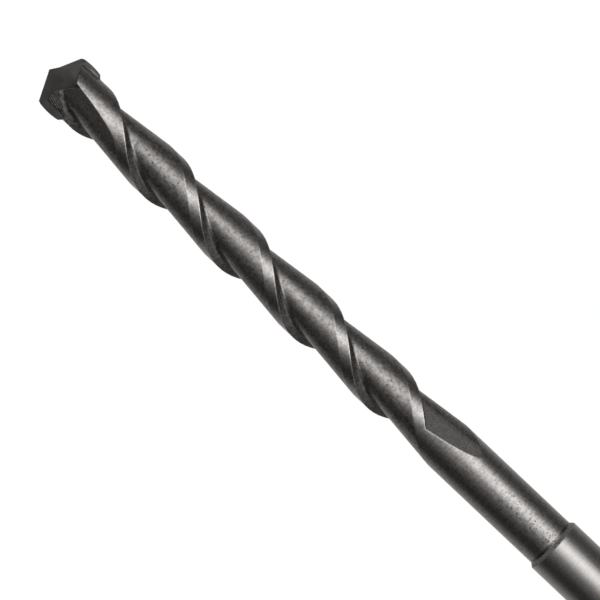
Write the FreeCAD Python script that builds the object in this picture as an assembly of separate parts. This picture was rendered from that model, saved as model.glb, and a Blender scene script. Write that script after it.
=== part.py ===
import FreeCAD, Part
import math
import os

Vector = FreeCAD.Vector

# Masonry drill bit: a fluted steel body on a slotted hammer shank, with a carbide plate brazed into its head.
# Lengths are in mm and angles in degrees. "Station" is the distance behind the cutting point.
# While it is built, the axis is +Z with the point up. At the end the bit is laid along +X.

# Overall lengths
overall_length = 160.0
shoulder_station = 111.2
shoulder_length = 0.65
end_chamfer = 0.8

# Diameters, and how far the carbide stands out past the body on each side
body_diameter = 8.95
shank_diameter = 10.0
carbide_overhang = 0.725

# Flutes. A share is a part of the body's radius
flute_count = 2
flute_lead = 33.0
edge_angle_at_point = 7.0
flute_start_station = 3.0
last_cut_station = 79.8
floor_depth_share = 0.3565
floor_tilt = 6.79
wall_angle = 11.1
root_radius_share = 0.18

# Carbide plate. The thickness share gives half its thickness
plate_thickness_share = 0.29
plate_rear_station = 7.0
plate_rear_chamfer = 0.6
point_angle = 130.0
relief_drop = 1.2
side_crown = 0.18

# Steel head around the plate
braze_gap = 0.1
valley_station = 5.35
valley_offset_share = 0.185
backing_front_station = 2.85
rake_front_station = 3.2
rake_front_offset_share = 0.413
gash_angle = -42.0
gash_distance_share = 0.8
gash_length = 6.7

# Hammer shank: two drive grooves open at the rear end, two lock recesses closed at both ends
drive_groove_width = 2.8
drive_groove_depth = 1.25
drive_groove_length = 32.0
drive_cutter_radius = 8.0
lock_recess_radius = 3.0
lock_recess_depth = 1.3
lock_recess_start = 8.5
lock_recess_length = 20.0

# Worked out from the above
body_radius = body_diameter / 2
shank_radius = shank_diameter / 2
carbide_radius = body_radius + carbide_overhang
floor_depth = body_radius * floor_depth_share
root_radius = body_radius * root_radius_share
half_plate = body_radius * plate_thickness_share
valley_offset = body_radius * valley_offset_share
rake_front_offset = body_radius * rake_front_offset_share
gash_distance = body_radius * gash_distance_share
half_slot = half_plate + braze_gap
half_point = math.tan(math.radians(90 - point_angle / 2))
corner_station = carbide_radius * half_point
slot_station = plate_rear_station + braze_gap
floor_rise = math.tan(math.radians(floor_tilt))
floor_distance = body_radius - floor_depth
floor_offset = flute_lead / (2 * math.pi) * floor_rise
run_out_length = floor_depth / floor_rise
flute_end_station = last_cut_station + run_out_length
turn_per_length = 360.0 / flute_lead
overcut = 0.4
beyond = 2 * carbide_radius
tangency_ease = 0.01


def polar(radius, degrees, z=0.0):
    a = math.radians(degrees)
    return Vector(radius * math.cos(a), radius * math.sin(a), z)


def height_at(station):
    return overall_length - station


def edge_angle(station):
    """Clock angle of the first flute's edge, which falls towards the shank as a right-hand helix does."""
    return edge_angle_at_point - turn_per_length * station


def repeat_around(shape):
    """The shape and its copies round the axis, one for each flute."""
    axis = Vector(0, 0, 1)
    copies = [shape]
    for i in range(1, flute_count):
        other = shape.copy()
        other.rotate(Vector(0, 0, 0), axis, 360.0 * i / flute_count)
        copies.append(other)
    return copies


def slab(outline, across, low, high):
    """Prism of a closed outline of points, pushed along the direction across from low to high."""
    points = [p + across * low for p in outline]
    face = Part.Face(Part.makePolygon(points + [points[0]]))
    return face.extrude(across * (high - low))


# Blank: the turned body, shoulder and shank

def make_blank():
    shoulder = height_at(shoulder_station)
    outline = [
        Vector(0, 0, 0),
        Vector(shank_radius - end_chamfer, 0, 0),
        Vector(shank_radius, 0, end_chamfer),
        Vector(shank_radius, 0, shoulder - shoulder_length),
        Vector(body_radius, 0, shoulder),
        Vector(body_radius, 0, overall_length),
        Vector(0, 0, overall_length),
    ]
    face = Part.Face(Part.makePolygon(outline + [outline[0]]))
    return face.revolve(Vector(0, 0, 0), Vector(0, 0, 1), 360)


# Flutes: a steep leading wall, a rounded root and a long floor that rises to the land behind it

def floor_point(angle, extra=0.0):
    """Point of the flute's floor where its normal has this angle, moved out by extra along that normal."""
    start = wall_angle - math.degrees(math.atan2(floor_offset, floor_distance))
    distance = floor_distance + floor_offset * math.radians(angle - start) + extra
    return polar(distance, angle) + polar(floor_offset, angle + 90)


def floor_start_angle():
    return wall_angle - math.degrees(math.atan2(floor_offset, floor_distance))


def floor_end_angle(radius):
    """Angle of the floor's normal where the floor has risen to this radius."""
    reach = math.sqrt(radius ** 2 - floor_offset ** 2)
    return floor_start_angle() + math.degrees((reach - floor_distance) / floor_offset)


def root_angle(edge, wall_normal):
    """Angle of the floor's normal where a root of the given radius touches floor and wall."""
    low, high = floor_start_angle(), floor_start_angle() + 60
    for _ in range(50):
        middle = (low + high) / 2
        gap = (floor_point(middle, root_radius) - edge).dot(wall_normal)
        if gap < root_radius:
            low = middle
        else:
            high = middle
    return middle


def flute_profile():
    """Closed outline of one flute across the axis, with its edge at angle 0 and the outside cut away too."""
    edge = polar(body_radius, 0)
    wall = (floor_point(floor_start_angle()) - edge).normalize()
    wall_normal = Vector(-wall.y, wall.x, 0)
    if wall_normal.y < 0:
        wall_normal = wall_normal * -1
    outer = body_radius + overcut
    lift = wall.dot(edge)
    reach = lift + math.sqrt(lift ** 2 + outer ** 2 - body_radius ** 2)
    first = edge - wall * reach

    contact = root_angle(edge, wall_normal)
    centre = floor_point(contact, root_radius)
    root_top = centre - wall_normal * root_radius
    root_end = floor_point(contact)
    to_middle = ((root_top - centre) + (root_end - centre)).normalize()
    root = Part.Arc(root_top, centre + to_middle * root_radius, root_end)

    last_angle = floor_end_angle(outer)
    steps = 12
    angles = [contact + (last_angle - contact) * i / steps for i in range(steps + 1)]
    floor = Part.BSplineCurve()
    floor.interpolate([floor_point(a) for a in angles])
    last = floor_point(last_angle)

    first_angle = math.degrees(math.atan2(first.y, first.x))
    end_angle = math.degrees(math.atan2(last.y, last.x)) % 360
    around = Part.Arc(last, polar(outer, (first_angle + end_angle) / 2), first)
    return Part.Wire([
        Part.LineSegment(first, root_top).toShape(),
        root.toShape(),
        floor.toShape(),
        around.toShape(),
    ])


def place_at(shape, station):
    """Turns a shape made at angle 0 and height 0 to the flute's edge at a station."""
    shape.rotate(Vector(0, 0, 0), Vector(0, 0, 1), edge_angle(station))
    shape.translate(Vector(0, 0, height_at(station)))
    return shape


def plane_keeper(station, side):
    """Steel that one flat pass of the cutter leaves: below its plane, on one side of where it touches the floor."""
    angle = edge_angle(station) + floor_start_angle()
    normal = polar(1, angle)
    along = polar(1, angle + 90)
    length = run_out_length + 1.0
    up = Vector(0, 0, 1)
    base = up * height_at(station)
    top = floor_distance - tangency_ease
    outline = [
        base - normal * beyond,
        base + normal * top,
        base + normal * (top + length * floor_rise) - up * length,
        base - normal * beyond - up * length,
    ]
    if side > 0:
        return slab(outline, along, floor_offset, beyond)
    return slab(outline, along, -beyond, floor_offset)


def make_flute_cut():
    sweep_length = flute_end_station - flute_start_station
    helix = Part.Wire(Part.makeHelix(flute_lead, sweep_length, body_radius))
    sweep = helix.makePipeShell([flute_profile()], True, True)
    place_at(sweep, flute_end_station)
    cut = sweep.cut(plane_keeper(flute_start_station, 1))
    cut = cut.cut(plane_keeper(last_cut_station, -1))
    nose = Part.Face(flute_profile()).extrude(Vector(0, 0, flute_start_station + overcut))
    place_at(nose, flute_start_station)
    return [cut, nose]


# Steel head: front faces of the two jaws, the gash before each cutting edge, and the slot

def make_front_cuts():
    """Steel ahead of the jaws' front faces, on the outer side of the plate. Local +X is the jaw's side."""
    top = height_at(-overcut)
    outline = [
        Vector(0, beyond, top),
        Vector(0, beyond, height_at(backing_front_station)),
        Vector(0, carbide_radius, height_at(backing_front_station)),
        Vector(0, valley_offset, height_at(valley_station)),
        Vector(0, -rake_front_offset, height_at(rake_front_station)),
        Vector(0, -beyond, height_at(rake_front_station)),
        Vector(0, -beyond, top),
    ]
    return slab(outline, Vector(1, 0, 0), 0, beyond)


def make_gash():
    """Flat ground face that frees the rake face of the plate, with a sloped run-out."""
    normal = polar(1, gash_angle)
    along = polar(1, gash_angle + 90)
    up = Vector(0, 0, 1)
    front = up * height_at(-overcut)
    rear = up * height_at(gash_length)
    slope = body_radius - gash_distance + overcut
    outline = [
        front + normal * gash_distance,
        rear + normal * gash_distance,
        rear + normal * (gash_distance + slope) - up * slope,
        front + normal * (gash_distance + slope),
    ]
    return slab(outline, along, -beyond, beyond)


def make_slot():
    height = slot_station + overcut
    return Part.makeBox(2 * half_slot, 2 * beyond, height, Vector(-half_slot, -beyond, height_at(slot_station)))


# Shank: grooves that the hammer's chuck drives and locks

def make_drive_groove():
    """Flat-bottomed groove from the rear end, ending in the curve of the disc that cut it."""
    bottom = shank_radius - drive_groove_depth
    centre = Vector(0, bottom + drive_cutter_radius, drive_groove_length - drive_cutter_radius)
    low = -drive_groove_width / 2
    disc = Part.makeCylinder(drive_cutter_radius, drive_groove_width, centre + Vector(low, 0, 0), Vector(1, 0, 0))
    run = Part.makeBox(drive_groove_width, beyond, centre.z + overcut, Vector(low, bottom, -overcut))
    return disc.fuse(run)


def make_lock_recess():
    """Round-bottomed recess with round ends, as a ball-nosed cutter leaves it."""
    centre = shank_radius - lock_recess_depth + lock_recess_radius
    radius = lock_recess_radius
    start = Vector(centre, 0, lock_recess_start + radius)
    length = lock_recess_length - 2 * radius
    run = Part.makeCylinder(radius, length, start)
    front = Part.makeSphere(radius, start)
    rear = Part.makeSphere(radius, start + Vector(0, 0, length))
    return run.fuse([front, rear])


def make_body(head_slot):
    cuts = []
    for cut in make_flute_cut() + [make_front_cuts(), make_gash(), make_drive_groove(), make_lock_recess()]:
        cuts += repeat_around(cut)
    body = make_blank()
    for cut in cuts:
        body = body.cut(cut)
    return body.cut(head_slot), body


# Carbide plate: roof-shaped point whose flanks fall away behind each cutting edge

def plate_outline(depth, upper_corner, lower_corner):
    rear = height_at(plate_rear_station)
    wide = carbide_radius + overcut
    upper_slope = upper_corner / carbide_radius
    lower_slope = lower_corner / carbide_radius
    points = [
        Vector(depth, 0, height_at(0)),
        Vector(depth, wide, height_at(upper_slope * wide)),
        Vector(depth, wide, rear),
        Vector(depth, -wide, rear),
        Vector(depth, -wide, height_at(lower_slope * wide)),
    ]
    return Part.makePolygon(points + [points[0]])


def plate_turning():
    """Round envelope of the plate: crowned sides and chamfered rear corners."""
    front = height_at(-overcut)
    rear = height_at(plate_rear_station)
    top_of_chamfer = rear + plate_rear_chamfer
    corner = height_at(corner_station)
    low = Vector(carbide_radius - side_crown, 0, top_of_chamfer)
    high = Vector(carbide_radius - side_crown, 0, corner)
    middle = Vector(carbide_radius, 0, (top_of_chamfer + corner) / 2)
    inner = Vector(carbide_radius - side_crown - plate_rear_chamfer, 0, rear)
    wire = Part.Wire([
        Part.LineSegment(Vector(0, 0, rear), inner).toShape(),
        Part.LineSegment(inner, low).toShape(),
        Part.Arc(low, middle, high).toShape(),
        Part.LineSegment(high, Vector(high.x, 0, front)).toShape(),
        Part.LineSegment(Vector(high.x, 0, front), Vector(0, 0, front)).toShape(),
        Part.LineSegment(Vector(0, 0, front), Vector(0, 0, rear)).toShape(),
    ])
    return Part.Face(wire).revolve(Vector(0, 0, 0), Vector(0, 0, 1), 360)


def make_plate():
    relieved = corner_station + relief_drop
    far = plate_outline(-half_plate, corner_station, relieved)
    near = plate_outline(half_plate, relieved, corner_station)
    roof = Part.makeLoft([far, near], True, True)
    return roof.common(plate_turning())


def make_braze(head_slot, unslotted_body, plate):
    """Film of filler between the slot and the plate, as far as the steel reaches."""
    return unslotted_body.common(head_slot).cut(plate)


def lay_down(shape):
    """Lays the bit along +X with its point leading and the plate level."""
    shape.rotate(Vector(0, 0, 0), Vector(0, 1, 0), 90)
    return shape


def main():
    os.makedirs("parts", exist_ok=True)
    slot = make_slot()
    body, unslotted = make_body(slot)
    plate = make_plate()
    braze = make_braze(slot, unslotted, plate)
    nodes = {
        "drill_body": body,
        "carbide_plate": plate,
        "braze_joint": braze,
    }
    for name, shape in nodes.items():
        shape = lay_down(shape)
        shape.exportStep("parts/" + name + ".step")
        box = shape.BoundBox
        print(name, "solids", len(shape.Solids), "valid", shape.isValid(), "volume", round(shape.Volume, 2),
              "X", round(box.XMin, 2), round(box.XMax, 2), "Y", round(box.YMin, 2), round(box.YMax, 2),
              "Z", round(box.ZMin, 2), round(box.ZMax, 2))


main()
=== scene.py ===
import bpy
import bmesh
import math
from mathutils import Matrix, Vector

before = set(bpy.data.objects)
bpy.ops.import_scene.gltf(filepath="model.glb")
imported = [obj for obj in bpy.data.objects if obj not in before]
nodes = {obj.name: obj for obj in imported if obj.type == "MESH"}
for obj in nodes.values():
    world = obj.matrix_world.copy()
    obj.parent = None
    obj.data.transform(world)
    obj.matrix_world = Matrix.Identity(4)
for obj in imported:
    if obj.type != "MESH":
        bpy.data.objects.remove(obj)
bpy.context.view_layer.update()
print("frame loaded:", ", ".join(sorted(nodes)))

# The bit lies along X with its point at +X. Sizes are in metres and angles in degrees.
# A pair is where a soft change begins and where it ends, or the two sides of a band.
bitSizes = {
    "length": 0.160,
    "bodyRadius": 0.004475,
    "shoulderX": 0.0488,        # where the body steps up to the shank
    "fluteLead": 0.033,
    "fluteEndX": (0.0645, 0.0655),
    "edgeAngle": 7.0,           # clock angle of a flute's edge at the point
    "wallAngle": 11.1,          # from that edge to where a flute's wall meets its floor
    "floorDistance": 0.00288,   # the flute floor's distance from the axis
    "floorRise": 0.119,         # and how fast a flat pass of the cutter rises from it
    "headFlatAngle": -26.9,     # a flute ends in one flat pass at the head and one at the neck
    "headFlatStart": 0.0030,    # starts are measured back from the point
    "rearFlatAngle": 35.3,
    "rearFlatStart": 0.0798,
    "flatLead": 0.002,          # how far in front of its start and behind it a flat reaches
    "flatReach": 0.016,
    "gashAngle": 42.0,          # the gash: the ground flats beside the plate
    "gashDistance": 0.00358,
    "gashX": (0.1515, 0.1520),
}


class Tone:                     # one socket of a node tree, so that sums can be written plainly
    def __init__(self, board, socket):
        self.board = board
        self.socket = socket

    def __add__(self, other):
        return self.board.sum("ADD", self, other)

    def __radd__(self, other):
        return self.board.sum("ADD", other, self)

    def __sub__(self, other):
        return self.board.sum("SUBTRACT", self, other)

    def __rsub__(self, other):
        return self.board.sum("SUBTRACT", other, self)

    def __mul__(self, other):
        return self.board.sum("MULTIPLY", self, other)

    def __rmul__(self, other):
        return self.board.sum("MULTIPLY", other, self)

    def __truediv__(self, other):
        return self.board.sum("DIVIDE", self, other)

    def __rtruediv__(self, other):
        return self.board.sum("DIVIDE", other, self)


class Board:                    # builds up a node tree, one node at a time
    def __init__(self, tree):
        self.tree = tree
        self.tree.nodes.clear()

    def put(self, node, key, value):
        if isinstance(value, Tone):
            self.tree.links.new(value.socket, node.inputs[key])
        else:
            node.inputs[key].default_value = value

    def node(self, kind, settings, inputs, result=0):
        made = self.tree.nodes.new(kind)
        for name, value in settings.items():
            if name == "stops":
                ramp = made.color_ramp
                while len(ramp.elements) < len(value):
                    ramp.elements.new(0.5)
                for element, (place, level) in zip(ramp.elements, value):
                    element.position = place
                    element.color = (level, level, level, 1.0)
            else:
                setattr(made, name, value)
        for key, value in inputs.items():
            self.put(made, key, value)
        return Tone(self, made.outputs[result])

    def sum(self, operation, first, second=0.0):
        return self.node("ShaderNodeMath", {"operation": operation}, {0: first, 1: second})

    def away(self, value):                                      # how far a value is from zero
        return self.sum("ABSOLUTE", value)

    def step(self, value, low, high, start=0.0, end=1.0):       # smooth change between two values
        ends = {"Value": value, "From Min": low, "From Max": high, "To Min": start, "To Max": end}
        return self.node("ShaderNodeMapRange", {"interpolation_type": "SMOOTHSTEP"}, ends)

    def fade(self, value, low, high):                           # 1 below low, 0 above high
        return self.step(value, low, high, 1.0, 0.0)

    def window(self, value, low, high, soft):                   # 1 between low and high, 0 outside
        return self.step(value, low - soft, low + soft) * self.fade(value, high - soft, high + soft)

    def blend(self, amount, first, second):                     # sockets 6 and 7 take the colours
        return self.node("ShaderNodeMix", {"data_type": "RGBA"}, {0: amount, 6: first, 7: second}, 2)

    def vector(self, x, y, z):
        return self.node("ShaderNodeCombineXYZ", {}, {"X": x, "Y": y, "Z": z})

    def split(self, vector):
        parted = self.node("ShaderNodeSeparateXYZ", {}, {0: vector})
        return [Tone(self, socket) for socket in parted.socket.node.outputs]

    def noise(self, place, scale, detail, rough):
        shape = {"Vector": place, "Scale": scale, "Detail": detail, "Roughness": rough}
        return self.node("ShaderNodeTexNoise", {}, shape)

    def spots(self, place, scale):              # the distance to the nearest spot, and a number of its own
        distance = self.node("ShaderNodeTexVoronoi", {}, {"Vector": place, "Scale": scale})
        colour = Tone(self, distance.socket.node.outputs["Color"])
        return distance, self.split(colour)[0]


class Finish(Board):            # a procedural material
    def __init__(self, name):
        self.material = bpy.data.materials.new(name)
        self.material.use_nodes = True
        super().__init__(self.material.node_tree)
        self.place = self.node("ShaderNodeTexCoord", {}, {}, "Object")
        self.x, self.y, self.z = self.split(self.place)
        self.radius = self.sum("SQRT", self.y * self.y + self.z * self.z)
        self.clock = self.sum("ARCTAN2", self.y, self.z * -1.0)

    def rounded(self, radius, turn=None):       # worn edges, and a surface turned a little round the axis
        normal = self.node("ShaderNodeBevel", {"samples": 8}, {"Radius": radius})
        if turn is None:
            return normal
        share = turn / self.radius
        side = self.vector(0.0, self.z * share * -1.0, self.y * share)
        added = self.node("ShaderNodeVectorMath", {"operation": "ADD"}, {0: normal, 1: side})
        return self.node("ShaderNodeVectorMath", {"operation": "NORMALIZE"}, {0: added})

    def surface(self, inputs, height=None, depth=0.0, normal=None):
        shader = self.tree.nodes.new("ShaderNodeBsdfPrincipled")
        for key, value in inputs.items():
            self.put(shader, key, value)
        if height is not None:
            bumps = {"Height": height, "Distance": depth, "Strength": 1.0}
            if normal is not None:
                bumps["Normal"] = normal
            self.put(shader, "Normal", self.node("ShaderNodeBump", {}, bumps))
        output = self.tree.nodes.new("ShaderNodeOutputMaterial")
        self.tree.links.new(shader.outputs[0], output.inputs["Surface"])
        return self.material


black = (0, 0, 0, 1)
blueLoss = 0.65                 # how much blue a warm grey loses for the red that it gains


def grey(level, warmth=0.05):
    return (level * (1 + warmth), level, level * (1 - blueLoss * warmth), 1.0)


steelLook = {
    # how much light each surface gives back, and how rough it is
    "land": 0.277,              # the ground lands and the neck
    "flute": 0.238,
    "shank": 0.324,
    "landRough": 0.27,
    "fluteRough": 0.34,
    "wallRough": 0.20,          # these four add to the roughness, and the grain varies it
    "rootRough": 0.10,
    "gashRough": 0.25,
    "coneRough": 0.30,
    "grainRough": 0.12,
    "grazing": 0.86,            # how much the steel gives back where it is seen at a low angle
    # these brighten or darken a part of the steel
    # painted shade: the flute's wall is darkened, and the crease at its foot (root) darker still
    "wall": 0.8,
    "root": 0.5,
    # painted highlight: a thin lighter line on the land beside each cutting edge
    "edgeHighlight": 1.5,
    # painted light: the cutter's flat passes at the neck (run-out) and at the head are lightened
    "runOut": 1.5,
    "headFlat": 1.25,
    # the gash: painted light lifts its tone, under real grinding marks
    "gash": 1.45,
    # painted shade: the steel towards the point, past an aslant line by the plate's rear corner, is
    # darkened
    "slotRim": 0.5,
    "shoulderRing": 0.5,
    "cone": 1.2,
    "head": 0.95,
    "pit": 0.35,
    # where those parts lie; angles are round a flute from its edge
    "headX": (0.131, 0.136),
    "cutDepths": (-0.00006, -0.00002),  # from the radius of the land
    "flatSeam": (0.000015, 0.000045),   # how far off a flat's plane a point still belongs to it
    "flatSoft": 0.0005,
    "gashSeam": (0.00002, 0.00005),
    "wallFrom": 0.4,
    "wallSoft": 0.7,
    "rootAngles": (-1.0, 5.0),          # from the foot of the wall
    "rootSoft": 1.0,
    "edgeHighlightAngles": (176.0, 177.5),
    "edgeHighlightX": (0.0755, 0.0775),
    "shankX": (-0.0008, -0.0004),       # this, the ring and the cone are measured from the shoulder
    "ringX": (0.0, 0.0004),
    "ringSoft": 0.0001,
    "coneX": (-0.00063, -0.00003),
    "coneSoft": 0.00004,
    "rimSlope": 0.714,                  # the slot's rim runs aslant past the plate's rear corner
    "rimX": (0.15492, 0.15510),
    "rimY": (-0.0014, 0.0008),
    "rimSoft": 0.0002,
    # grinding lines, grain and blotches, and how strongly each one shows
    "lineScales": (3600, 1.5, 300),     # along, round and out from the axis
    "grainScale": 2600.0,
    "blotchScale": 1300.0,
    "lines": 0.7,
    "headLines": 0.6,                   # share of the lines that the head has lost
    "grain": 1.3,
    "headFlatGrain": 0.5,               # how much less grain the flats have
    "rearFlatGrain": 0.7,
    "blotches": 0.4,
    "fluteBlotches": 0.9,               # how much more the flutes and the head have
    "headBlotches": 0.5,
    "shankCalm": 0.6,                   # share of all marks that the shank has lost
    "hatchLean": 21.1,                  # grinding marks on the gash
    "hatchScale": 13500,
    "hatchWaver": 2.0,
    "hatchWaves": (-0.9, 0.1),
    "hatchShades": (-1.1, 0.2),
    # the relief of the marks, and the shape of the surface under them
    "bumpDepth": 0.000003,
    "lineHeight": 0.6,
    "grainHeight": 0.6,
    "blotchHeight": 1.2,
    "pitDepth": 0.8,
    "edgeRound": 0.0003,
    "floorTurn": 0.065,                 # slope of the worn flute floor
    "turnAngles": (3.0, 9.0),           # from the foot of the wall
    "turnStartX": (0.079, 0.0835),
    "turnEndX": (0.143, 0.150),
    # rust pits: they crowd on one side of the neck and at the shoulder
    "pitScale": 2300.0,
    "pitSize": (0.12, 0.52),
    "pitChance": (0.97, 1.03),
    "crowdX": (0.0650, 0.0570),
    "crowdY": (-0.0013, 0.0009),
    "crowdStrength": 0.50,
    "stepX": (0.0490, 0.0512),
    "stepY": (-0.0022, 0.0009),
    "stepStrength": 0.40,
    "neckX": (0.066, 0.060),
    "neckStrength": 0.05,
    "fluteStrength": 0.045,
    "headStrength": 0.02,
    "pitSoft": 0.0003,
    "stepSoft": 0.0004,
}


def onFlat(finish, turned, start):              # the flat that one pass of the cutter leaves
    angle = math.radians(turned)
    behind = bitSizes["length"] - finish.x
    outward = finish.away(finish.y * math.sin(angle) - finish.z * math.cos(angle))
    off = finish.away(outward - ((behind - start) * bitSizes["floorRise"] + bitSizes["floorDistance"]))
    first = start - bitSizes["flatLead"]
    last = start + bitSizes["flatReach"]
    within = finish.window(behind, first, last, steelLook["flatSoft"])
    return finish.fade(off, *steelLook["flatSeam"]) * within


def fluteAngle(finish):                         # degrees round the axis from a flute's edge
    turn = 2 * math.pi / bitSizes["fluteLead"]
    around = finish.clock - math.radians(bitSizes["edgeAngle"]) + (bitSizes["length"] - finish.x) * turn
    return finish.sum("FLOORED_MODULO", around, math.pi) * (180 / math.pi)


def moved(pair, by):                            # a pair that is measured from another place
    return [place + by for place in pair]


def steelParts(finish):                         # where each part of the drill body is, as masks from 0 to 1
    look = steelLook
    x, y, z = finish.x, finish.y, finish.z
    shoulder = bitSizes["shoulderX"]
    angle = fluteAngle(finish)
    headFlat = onFlat(finish, bitSizes["headFlatAngle"], bitSizes["headFlatStart"])
    rearFlat = onFlat(finish, bitSizes["rearFlatAngle"], bitSizes["rearFlatStart"])
    inside = finish.fade(finish.radius, *moved(look["cutDepths"], bitSizes["bodyRadius"]))
    cut = inside * finish.step(x, *bitSizes["fluteEndX"])
    swept = cut * (1.0 - headFlat) * (1.0 - rearFlat)
    root = moved(look["rootAngles"], bitSizes["wallAngle"])
    slant = math.radians(bitSizes["gashAngle"])
    outward = finish.away(y * math.sin(slant) + z * math.cos(slant))
    onGash = finish.fade(finish.away(outward - bitSizes["gashDistance"]), *look["gashSeam"])
    rim = finish.step(x - y * look["rimSlope"], *look["rimX"])
    turned = finish.step(angle, *moved(look["turnAngles"], bitSizes["wallAngle"]))
    turned = turned * (finish.step(x, *look["turnStartX"]) * finish.fade(x, *look["turnEndX"]))
    return {
        "cut": cut,                             # everything that the cutter has taken away
        "swept": swept,                         # the same without the two flat passes
        "headFlat": headFlat,
        "rearFlat": rearFlat,
        # painted shade on the flute's wall and in the crease at its foot
        "wall": finish.window(angle, look["wallFrom"], root[0], look["wallSoft"]) * swept,
        "root": finish.window(angle, *root, look["rootSoft"]) * swept,
        # painted highlight along the cutting edge
        "edgeHighlight": finish.step(angle, *look["edgeHighlightAngles"]) * (1.0 - cut) * finish.step(x, *look["edgeHighlightX"]),
        "head": finish.step(x, *look["headX"]),
        "shank": finish.fade(x, *moved(look["shankX"], shoulder)),
        "shoulderRing": finish.window(x, *moved(look["ringX"], shoulder), look["ringSoft"]),
        "cone": finish.window(x, *moved(look["coneX"], shoulder), look["coneSoft"]),
        "gash": onGash * finish.step(x, *bitSizes["gashX"]),
        # painted shade on the steel by the slot's rim
        "slotRim": rim * finish.window(y, *look["rimY"], look["rimSoft"]),
        "turned": swept * turned,
    }


def rustPits(finish, part, grain):
    look = steelLook
    distance, chance = finish.spots(finish.place, look["pitScale"])
    onNeck = 1.0 - part["shank"]
    patch = finish.window(finish.y, *look["crowdY"], look["pitSoft"]) * onNeck
    atStep = finish.window(finish.x, *look["stepX"], look["stepSoft"])
    atStep = atStep * finish.window(finish.y, *look["stepY"], look["pitSoft"])
    crowd = finish.step(finish.x, *look["crowdX"], 0.0, look["crowdStrength"]) * patch
    crowd = crowd + atStep * look["stepStrength"]
    crowd = crowd + finish.step(finish.x, *look["neckX"], 0.0, look["neckStrength"]) * onNeck
    crowd = crowd + part["swept"] * look["fluteStrength"] + part["head"] * look["headStrength"]
    size = finish.fade(distance + (grain - 0.5), *look["pitSize"])
    return size * finish.step(chance + crowd, *look["pitChance"])


def hatching(finish, blotch):                   # coarse grinding marks, aslant on the gash
    lean = math.radians(steelLook["hatchLean"])
    slant = math.radians(bitSizes["gashAngle"])
    level = finish.y * math.cos(slant) - finish.z * math.sin(slant)
    across = finish.x * math.sin(lean) + level * math.cos(lean)
    waves = finish.sum("SINE", across * steelLook["hatchScale"] + blotch * steelLook["hatchWaver"])
    return finish.step(waves, *steelLook["hatchWaves"], *steelLook["hatchShades"])


def shaded(level, masks):                       # brightens or darkens each part as steelLook says
    change = 1.0
    for name, mask in masks.items():
        change = change + mask * (steelLook[name] - 1)
    return level * change


def steelFinish():
    finish = Finish("ground steel")
    look = steelLook
    part = steelParts(finish)
    cut, swept, head, shank = part["cut"], part["swept"], part["head"], part["shank"]
    headFlat, rearFlat = part["headFlat"], part["rearFlat"]
    along, around, out = look["lineScales"]
    lines = finish.vector(finish.x * along, finish.clock * around, finish.radius * out)
    lines = finish.noise(lines, 1.0, detail=2.0, rough=0.6)
    grain = finish.noise(finish.place, look["grainScale"], detail=4.0, rough=0.65)
    blotch = finish.noise(finish.place, look["blotchScale"], detail=3.0, rough=0.6)
    pits = rustPits(finish, part, grain)

    blotches = swept * look["fluteBlotches"] + look["blotches"]
    blotches = blotches + head * (1.0 - headFlat) * look["headBlotches"]
    grains = look["grain"] - headFlat * look["headFlatGrain"] - rearFlat * look["rearFlatGrain"]
    lined = (1.0 - cut) * (1.0 - head * look["headLines"]) * look["lines"]
    mottle = (blotch - 0.5) * blotches + (grain - 0.5) * grains + (lines - 0.5) * lined
    level = shank * (look["shank"] - look["land"]) + look["land"] - swept * (look["land"] - look["flute"])
    level = level * (mottle * (1.0 - shank * look["shankCalm"]) + 1.0)
    # painted shade on the wall and the root, and a painted highlight along the cutting edge
    level = shaded(level, {name: part[name] for name in ("wall", "root", "edgeHighlight")})
    # painted light on the two flat passes of the cutter
    level = shaded(level, {"runOut": rearFlat * cut, "headFlat": headFlat * cut})
    level = shaded(level, {"cone": part["cone"]})
    level = shaded(level, {"head": head * (1.0 - cut)})
    # the gash: real grinding marks, with painted light lifting its tone
    level = level * (part["gash"] * (hatching(finish, blotch) + (look["gash"] - 1)) + 1.0)
    # painted shade on the steel by the slot's rim
    level = shaded(level, {"slotRim": part["slotRim"]})
    level = shaded(level, {"shoulderRing": part["shoulderRing"]})
    level = shaded(level, {"pit": pits})

    rough = swept * (look["fluteRough"] - look["landRough"]) + look["landRough"]
    for name in ("wall", "root", "gash", "cone"):
        rough = rough + part[name] * look[name + "Rough"]
    rough = rough + (grain - 0.5) * look["grainRough"]
    height = lines * (1.0 - cut) * look["lineHeight"] + grain * look["grainHeight"]
    height = height + blotch * swept * look["blotchHeight"] - pits * look["pitDepth"]
    normal = finish.rounded(look["edgeRound"], part["turned"] * look["floorTurn"])
    return finish.surface({
        "Base Color": finish.blend(level, black, grey(1.0)),
        "Metallic": 1.0,
        "Roughness": rough,
        "Specular Tint": grey(look["grazing"]),
    }, height, look["bumpDepth"], normal)


carbideLook = {
    "dark": 0.077,
    "grain": 0.05,
    "clouds": 0.03,
    "warmth": 0.06,
    "grainScale": 3600.0,
    "cloudScale": 500.0,
    "cloudEdges": (0.35, 0.65),
    "nearShading": (-0.0032, 0.0002, 1.28, 0.65),  # painted light and shade, lighter towards -y and darkest just past the middle: two places across the bit, and the shade at each
    "farShading": (0.0008, 0.0042, 0.0, 0.14),     # across the bit, and the shade at each
    "rough": 0.65,
    "grainRough": 0.1,
    "bumpDepth": 0.000003,
    "edgeRound": 0.0001,
    "highlightX": 0.1544,            # a painted highlight beside the braze, on the far flank's side
    "highlightY": -0.00458,
    "highlightLength": 0.0010,
    "highlightWidth": 0.00010,
    "highlightEdge": (0.5, 1.1),
    "highlightShade": 0.40,
}


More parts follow.
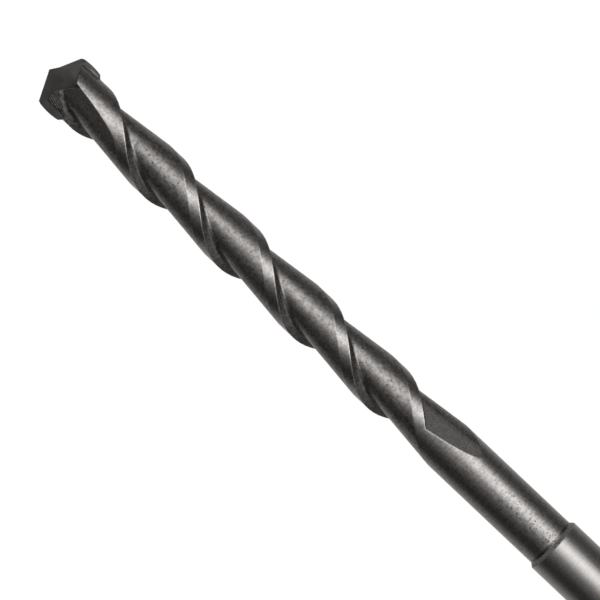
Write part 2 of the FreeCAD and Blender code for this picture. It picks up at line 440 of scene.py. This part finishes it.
def carbideFinish():
    finish = Finish("sintered carbide")
    look = carbideLook
    grain = finish.noise(finish.place, look["grainScale"], detail=4.0, rough=0.6)
    cloud = finish.noise(finish.place, look["cloudScale"], detail=2.0, rough=0.5)
    # painted light and shade across the plate: lighter towards -y, darkest just past the middle, a little
    # lighter towards +y
    paintedShading = finish.step(finish.y, *look["nearShading"]) + finish.step(finish.y, *look["farShading"])
    level = grain * look["grain"] + finish.step(cloud, *look["cloudEdges"]) * look["clouds"] + look["dark"]
    colour = finish.blend(level * paintedShading, black, grey(1.0, look["warmth"]))
    # a small painted highlight: an ellipse of lighter colour on the plate beside the braze
    along = (finish.x - look["highlightX"]) / look["highlightLength"]
    across = (finish.y - look["highlightY"]) / look["highlightWidth"]
    paintedHighlight = finish.fade(along * along + across * across, *look["highlightEdge"])
    return finish.surface({
        "Base Color": finish.blend(paintedHighlight, colour, grey(look["highlightShade"])),
        "Metallic": 1.0,
        "Roughness": grain * look["grainRough"] + look["rough"],
    }, grain, look["bumpDepth"], finish.rounded(look["edgeRound"]))


brazeLook = {
    "dark": (0.15, 0.13, 0.11, 1),
    "light": (0.24, 0.20, 0.165, 1),
    "grainScale": 3000.0,
    "rough": 0.75,
    "grazing": 0.2,
    "bumpDepth": 0.000006,
}


def brazeFinish():
    finish = Finish("copper braze")
    grain = finish.noise(finish.place, brazeLook["grainScale"], detail=4.0, rough=0.6)
    return finish.surface({
        "Base Color": finish.blend(grain, brazeLook["dark"], brazeLook["light"]),
        "Metallic": 1.0,
        "Roughness": brazeLook["rough"],
        "Specular Tint": grey(brazeLook["grazing"]),
    }, grain, brazeLook["bumpDepth"])


finishes = {
    "drill_body": steelFinish(),
    "carbide_plate": carbideFinish(),
    "braze_joint": brazeFinish(),
}
for name, finish in finishes.items():
    node = nodes[name]
    node.data.materials.clear()
    node.data.materials.append(finish)
print("finishes made")

# The studio: white floor, one long soft light overhead, and a camera that looks straight down.
studio = {
    "floorSize": 1.6,
    "floorZ": -0.005,
    "floorGlow": 0.985,
    "floorShade": 0.06,         # the part of the floor's white that can fall into shadow
    "cameraHeight": 0.4686,
    "cameraX": 0.10512,
    "cameraY": -0.000724,
    "lens": 174.0,
    "slope": 43.37,             # how far the bit's axis runs below the picture's level
    "brightest": 2.7,
    "lightEnds": (12.0, 34.0),  # the long light fades out between these angles towards its ends
    "endLevel": 0.067,
    "endBelow": 0.30,           # how much brighter the ends are under the horizon
    "belowHeights": (-0.15, -0.55),
    "endBox": 0.45,             # and in the soft boxes above each end
    "boxAngles": (37.0, 45.0),
    "boxHeights": (0.15, 0.40),
    # brightness round the bit, by the angle from overhead towards the lit side
    "lightBand": {
        -180: 0.9, -162: 0.74, -148: 0.66, -132: 0.53, -115: 0.365, -102: 0.225, -92: 0.11, -84: 0.061,
        -68: 0.056, -58: 0.056, -48: 0.092, -39: 0.15, -31: 0.206, -22: 0.292, -14: 0.486, -6: 0.861,
        2.6: 1.611, 11: 2.167, 19: 2.667, 28: 2.667, 36: 2.056, 45: 1.167, 54: 0.486, 64: 0.208,
        74: 0.139, 85: 0.117, 96: 0.13, 110: 0.2, 126: 0.375, 148: 0.59, 162: 0.75, 180: 0.9,
    },
}


def makeFloor():
    mesh = bpy.data.meshes.new("floor")
    form = bmesh.new()
    bmesh.ops.create_grid(form, x_segments=1, y_segments=1, size=studio["floorSize"] / 2)
    bmesh.ops.translate(form, verts=form.verts, vec=(bitSizes["length"] / 2, 0, studio["floorZ"]))
    form.to_mesh(mesh)
    form.free()
    floor = bpy.data.objects.new("floor", mesh)
    bpy.context.collection.objects.link(floor)
    mesh.materials.append(Finish("white card").surface({
        "Base Color": grey(studio["floorShade"], 0),
        "Roughness": 0.9,
        "Specular IOR Level": 0.0,
        "Emission Color": (1, 1, 1, 1),
        "Emission Strength": studio["floorGlow"],
    }))
    floor.visible_glossy = False        # the steel mirrors the studio's soft gradient, not the bare card


def makeStudioLight():
    world = bpy.data.worlds.new("studio")
    world.use_nodes = True
    board = Board(world.node_tree)
    x, y, z = board.split(board.node("ShaderNodeTexCoord", {}, {}, "Generated"))
    across = board.sum("ARCTAN2", y * -1.0, z) * (180 / math.pi)
    band = studio["lightBand"].items()
    stops = [((angle + 180) / 360, level / studio["brightest"]) for angle, level in band]
    overhead = board.node("ShaderNodeValToRGB", {"stops": stops}, {0: (across + 180) / 360})
    along = board.away(board.sum("ARCSINE", x)) * (180 / math.pi)
    middle = board.fade(along, *studio["lightEnds"])
    endBox = board.step(along, *studio["boxAngles"], 0.0, studio["endBox"])
    endBox = endBox * board.step(z, *studio["boxHeights"])
    below = board.step(z, *studio["belowHeights"], 0.0, studio["endBelow"])
    level = overhead * studio["brightest"] * middle + (1.0 - middle) * (below + endBox + studio["endLevel"])
    background = board.node("ShaderNodeBackground", {}, {"Color": board.vector(level, level, level)})
    output = board.tree.nodes.new("ShaderNodeOutputWorld")
    board.tree.links.new(background.socket, output.inputs["Surface"])
    bpy.context.scene.world = world


def makeCamera():
    data = bpy.data.cameras.new("camera")
    data.lens = studio["lens"]
    data.sensor_width = 36.0
    data.clip_start = 0.01
    data.clip_end = 10.0
    camera = bpy.data.objects.new("camera", data)
    slope = math.radians(studio["slope"])
    right = Vector((-math.cos(slope), -math.sin(slope), 0))
    up = Vector((math.sin(slope), -math.cos(slope), 0))
    turned = Matrix((right, up, right.cross(up))).transposed().to_4x4()
    place = (studio["cameraX"], studio["cameraY"], studio["cameraHeight"])
    camera.matrix_world = Matrix.Translation(place) @ turned
    bpy.context.collection.objects.link(camera)
    bpy.context.scene.camera = camera


makeFloor()
makeCamera()
makeStudioLight()
bpy.context.scene.view_settings.view_transform = "Standard"
print("studio set")
